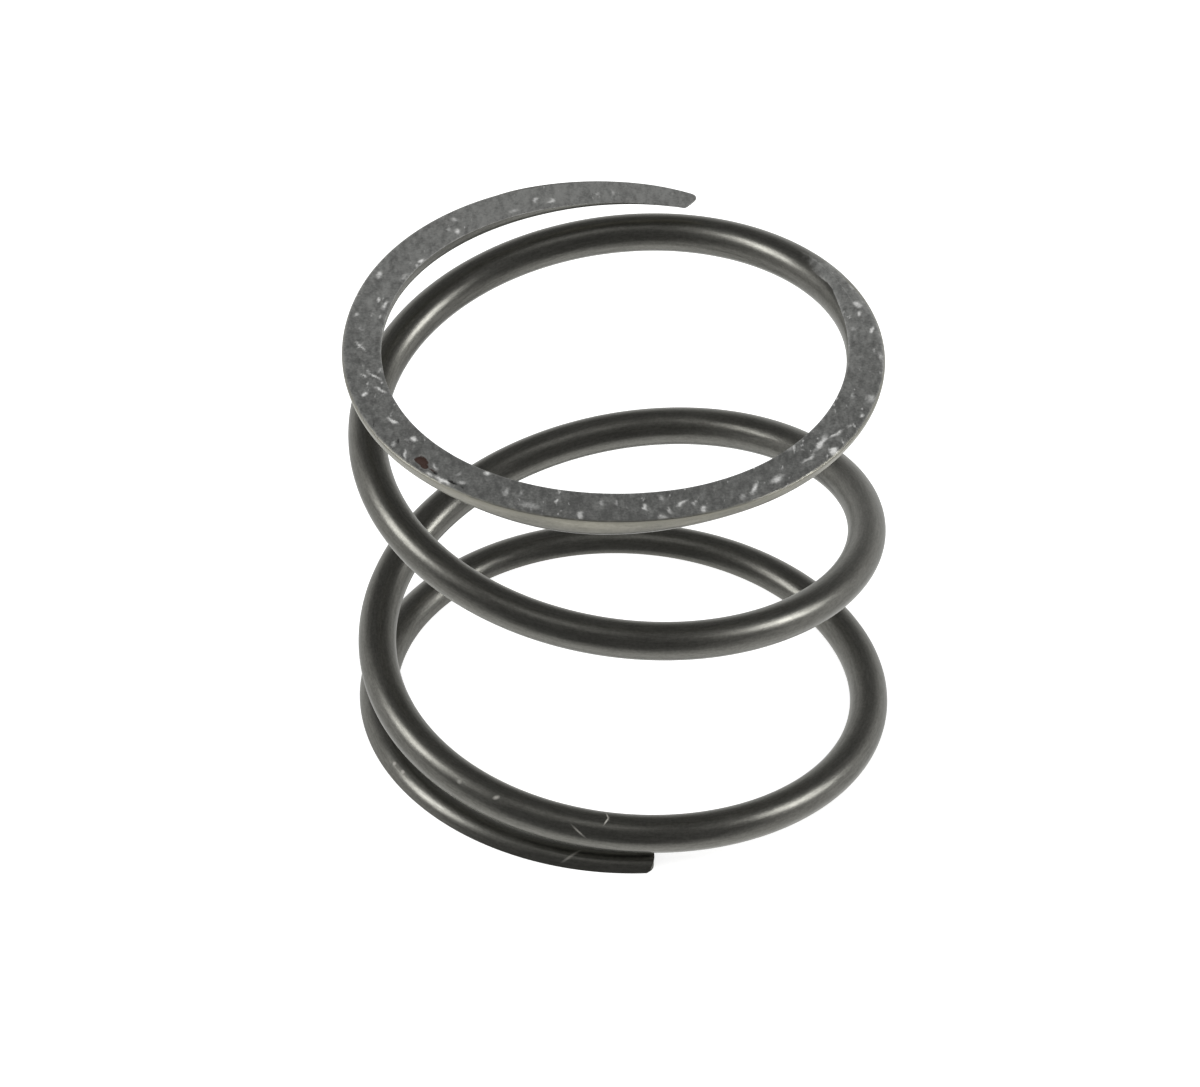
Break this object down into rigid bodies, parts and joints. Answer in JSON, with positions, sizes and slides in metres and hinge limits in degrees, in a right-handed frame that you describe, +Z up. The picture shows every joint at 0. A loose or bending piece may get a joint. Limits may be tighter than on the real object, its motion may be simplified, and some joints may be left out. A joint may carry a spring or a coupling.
{
  "type": "oil filter spring",
  "caption": "Short left-hand compression spring of round steel wire, with closed, flat ground ends, that presses an oil filter onto its seat.",
  "frame": {"origin": "middle of the spring's footprint, on the plane that its lower ground face stands on", "axes": "+Z up through the coil, square to both ground faces; -Y towards the lower tip of the wire; the body leans a little to -X as it rises"},
  "size_m": [0.0294, 0.0282, 0.0242],
  "materials": {
    "spring_steel": "dark oil-tempered round wire, semi-gloss, with mottled grey ground end faces"
  },
  "bodies": {
    "root": {"oil_filter_spring": "spring_steel"}
  },
  "joints": []
}
